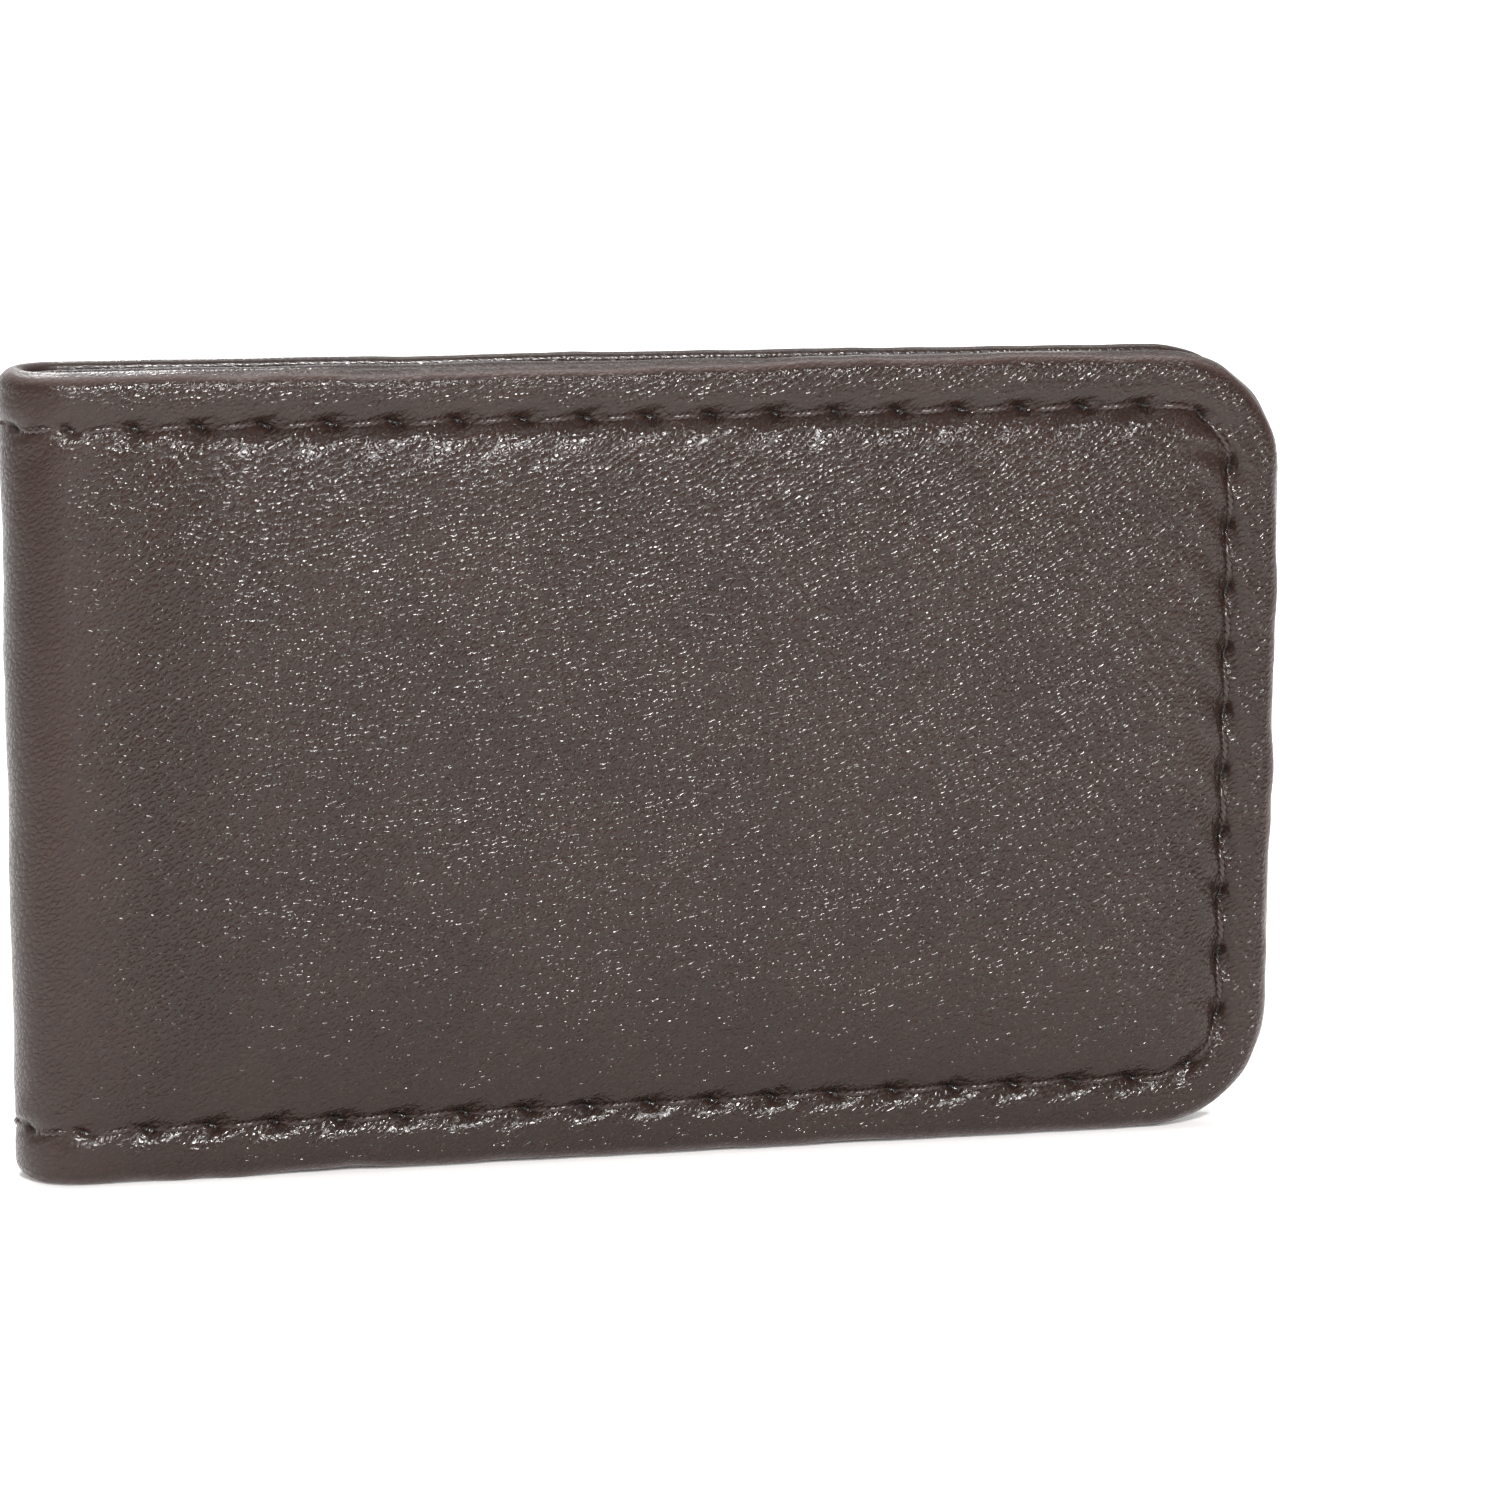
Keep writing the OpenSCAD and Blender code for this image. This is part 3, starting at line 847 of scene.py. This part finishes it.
def thread_material():
    """Waxed thread with painted shade in the grooves between its plies; the ply mask is 1 at the bottom of a
    groove.
    """
    s = Shader("twisted_thread")
    ply = s.add("Attribute", attribute_name="wear", output=2)
    fibres = s.noise(s.flat(35, (6, 1, 1)), 14.0, 3.0, 0.6)
    colour = s.mix(s.spread(fibres, 0.3, 0.7), (0.032, 0.02, 0.018), (0.05, 0.032, 0.028))
    # painted shade in the grooves between the plies
    colour = s.mix(s.spread(ply, 0.5, 1.0, 0.0, 0.7), colour, (0.012, 0.008, 0.007))
    s.set(Base_Color=colour, Roughness=0.26, Specular_IOR_Level=0.45, Normal=s.bump(fibres, 0.008))
    return s.material


def object_mm(s, scale=(1, 1, 1)):
    """Object coordinates in millimetres."""
    where = s.add("TexCoord", output=3)
    return s.add("Mapping", {"Vector": where, "Scale": tuple(k / MM for k in scale)})


def board_material():
    s = Shader("grey_board")
    where = object_mm(s)
    fibres = s.noise(object_mm(s, (1, 1, 0.3)), 6.0, 5.0, 0.7)
    specks = s.noise(where, 2.2, 2.0)
    colour = s.mix(s.spread(fibres, 0.3, 0.7), (0.25, 0.23, 0.2), (0.38, 0.35, 0.3))
    colour = s.mix(s.spread(specks, 0.58, 0.68, 0.0, 0.5), colour, (0.14, 0.12, 0.1))
    s.set(Base_Color=colour, Roughness=0.9, Normal=s.bump(fibres, 0.05))
    return s.material


def foam_material():
    s = Shader("foam")
    where = s.flat()
    cells = s.add("TexVoronoi", {"Vector": where, "Scale": 3.5}, feature="F1")
    colour = s.mix(s.spread(cells, 0.0, 0.7), (0.62, 0.6, 0.56), (0.42, 0.4, 0.37))
    s.set(Base_Color=colour, Roughness=0.95, Subsurface_Weight=0.05, Normal=s.bump(cells, -0.12))
    return s.material


def magnet_material():
    s = Shader("nickel_plate")
    scratches = s.noise(object_mm(s, (1, 1, 0.05)), 9.0, 4.0, 0.7)
    clouds = s.noise(object_mm(s), 0.35, 3.0)
    colour = s.mix(s.spread(clouds, 0.3, 0.7), (0.56, 0.54, 0.5), (0.66, 0.64, 0.6))
    s.set(Base_Color=colour, Metallic=1.0, Roughness=s.spread(scratches, 0.3, 0.7, 0.18, 0.36))
    s.set(Normal=s.bump(scratches, 0.004))
    return s.material


WEAVE_STEP = 0.5


def tape_material():
    """Plain woven tape: threads over and under each other, along the fold and across it."""
    s = Shader("woven_tape")
    where = object_mm(s)
    parts = s.add("SeparateXYZ", {0: where}).node
    across = s.math("ADD", parts.outputs[0], parts.outputs[1])
    turn = 2 * math.pi / WEAVE_STEP
    warp = s.math("SINE", s.math("MULTIPLY", across, turn))
    weft = s.math("SINE", s.math("MULTIPLY", parts.outputs[2], turn))
    weave = s.math("MULTIPLY", warp, weft)
    fuzz = s.noise(where, 9.0, 3.0)
    height = s.math("MULTIPLY_ADD", fuzz, 0.6, weave)
    colour = s.mix(s.spread(height, -0.6, 1.2), (0.05, 0.045, 0.04), (0.15, 0.14, 0.125))
    s.set(Base_Color=colour, Roughness=0.85, Sheen_Weight=0.2, Normal=s.bump(height, 0.05))
    return s.material


def paint_cad(word, material):
    """Gives a material to every mesh whose name has the word in it, leaving out the backdrop and anything
    placed in a body.
    """
    for obj in bpy.data.objects:
        if obj.type == "MESH" and word in obj.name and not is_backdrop(obj) and "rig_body" not in obj:
            obj.data.materials.clear()
            obj.data.materials.append(material)


# ---------- the pieces ----------

# Radii of the edges, inside and outside
COVER_EDGE_R, LINING_EDGE_R = (0.4, 0.9), (0.25, 0.1)
# Distances from the edge of the rings on the inner (LOW) and outer (HIGH) faces, close together at the seam
COVER_LOW_D = (6.6, 4.78, 4.66, 4.54, 4.42, 4.0, 3.9, 3.8, 3.7, 3.0, 2.0, 1.0)
COVER_HIGH_D = (1.05, 1.25, 1.5, 1.75, 2.0, 2.2, 2.38, 2.53, 2.66, 2.79, 2.9, 3.0, 3.1, 3.2, 3.3, 3.42, 3.55,
                3.7, 3.88, 4.1, 4.4, 4.75, 5.15, 5.6, 6.1, 6.6)
LINING_LOW_D = (6.6, 6.0, 5.4, 4.9, 4.5, 4.15, 3.85, 3.6, 3.42, 3.28, 3.16, 3.04, 2.92, 2.78, 2.6, 2.35, 2.0,
                1.6, 1.2, 0.85)
LINING_HIGH_D = (0.9, 2.0, 4.0, 6.6)


def build():
    leather = cover_leather()
    cover_edge = edge_profile(LINING_T, BAND_U, *COVER_EDGE_R, COVER_LOW_D, COVER_HIGH_D)
    cover = layer(cover_edge, finish_cover)
    place_strip("cover_skin", "cover", cover, leather)
    lining_edge = edge_profile(0, LINING_T, *LINING_EDGE_R, LINING_LOW_D, LINING_HIGH_D, LINING_INSET)
    lining = layer(lining_edge, finish_lining)
    place_strip("lining_skin", "lining", lining, lining_leather())
    thread = thread_material()
    place_strip("needle_twist", "needle_thread", thread_pieces(*NEEDLE_U), thread)
    place_strip("bobbin_twist", "bobbin_thread", thread_pieces(*BOBBIN_U), thread)
    foam = foam_material()
    for side in ("back", "front"):
        foam_pad(side, foam)
    paint_cad("board", board_material())
    paint_cad("magnet", magnet_material())
    paint_cad("tape", tape_material())


# ---------- stage, light and camera ----------

def backdrop():
    """A pale floor that curves up into a backdrop behind the object."""
    floor_y, rise_y, radius, half, top = -2.0, 0.45, 0.25, 2.0, 1.3
    bend = np.linspace(0, math.pi / 2, 17)
    line = [(floor_y, 0)] + [(rise_y + radius * math.sin(a), radius * (1 - math.cos(a))) for a in bend]
    line.append((rise_y + radius, top))
    points = [(side * half, y, z) for y, z in line for side in (-1, 1)]
    faces = [(2 * i, 2 * i + 1, 2 * i + 3, 2 * i + 2) for i in range(len(line) - 1)]
    mesh = bpy.data.meshes.new("backdrop")
    mesh.from_pydata(points, [], faces)
    mesh.polygons.foreach_set("use_smooth", np.ones(len(faces), bool))
    s = Shader("backdrop_paper")
    mottle = s.noise(s.add("TexCoord", output=3), 4.0, 3.0)
    s.set(Base_Color=s.mix(mottle, (0.8, 0.8, 0.8), (0.84, 0.84, 0.84)), Roughness=0.9)
    s.set(Emission_Color=(1, 0.97, 0.94, 1), Emission_Strength=0.25)  # the glow of a studio sweep
    mesh.materials.append(s.material)
    floor = bpy.data.objects.new("backdrop", mesh)
    bpy.context.scene.collection.objects.link(floor)


def softbox(name, place, aim, size, power, colour):
    """An area light of a size in metres and a power in watts, turned towards aim."""
    light = bpy.data.lights.new(name, "AREA")
    light.shape, light.size, light.size_y = "RECTANGLE", size[0], size[1]
    light.energy, light.color = power, colour
    lamp = bpy.data.objects.new(name, light)
    lamp.location = place
    lamp.rotation_euler = (Vector(aim) - Vector(place)).to_track_quat("-Z", "Y").to_euler()
    bpy.context.scene.collection.objects.link(lamp)


def lights():
    middle = (0, 0, HEIGHT / 2 * MM)
    warm, white = (1, 0.99, 0.98), (1, 1, 1)
    softbox("key_light", (0.01, -0.31, 0.205), (-0.01, 0, 0.03), (0.05, 0.032), 1.5, warm)
    softbox("top_light", (0, 0.05, 0.6), middle, (0.6, 0.4), 1.5, warm)
    softbox("back_light", (-0.05, 0.24, 0.27), (0, 0, 0.02), (0.08, 0.05), 0.7, warm)
    softbox("backdrop_light", (0, 0.1, 0.45), (0, 0.7, 0.2), (0.9, 0.3), 5, white)
    world = bpy.data.worlds.new("studio")
    bpy.context.scene.world = world
    world.use_nodes = True
    background = world.node_tree.nodes["Background"]
    background.inputs["Color"].default_value = (1, 0.98, 0.965, 1)
    background.inputs["Strength"].default_value = 0.35


def camera():
    """Looks at the front from a little to the left and above, as the object is shown."""
    azimuth, elevation, distance = math.radians(-10.5), math.radians(11), 0.278
    right, above, roll = 4.92 * MM, 0.95 * MM, math.radians(0.25)
    back = Vector((math.sin(azimuth) * math.cos(elevation), -math.cos(azimuth) * math.cos(elevation),
                   math.sin(elevation)))
    across = Vector((math.cos(azimuth), math.sin(azimuth), 0))
    target = Vector((0, -0.003, HEIGHT / 2 * MM)) + across * right + back.cross(across) * above
    lens = bpy.data.cameras.new("camera")
    lens.lens, lens.sensor_width = 120.5, 36
    lens.clip_start, lens.clip_end = 0.01, 10
    eye = bpy.data.objects.new("camera", lens)
    eye.location = target + back * distance
    eye.rotation_euler = ((-back).to_track_quat("-Z", "Y") @ Quaternion((0, 0, 1), roll)).to_euler()
    bpy.context.scene.collection.objects.link(eye)
    bpy.context.scene.camera = eye
    bpy.context.scene.view_settings.view_transform = "Standard"


build()
backdrop()
lights()
camera()
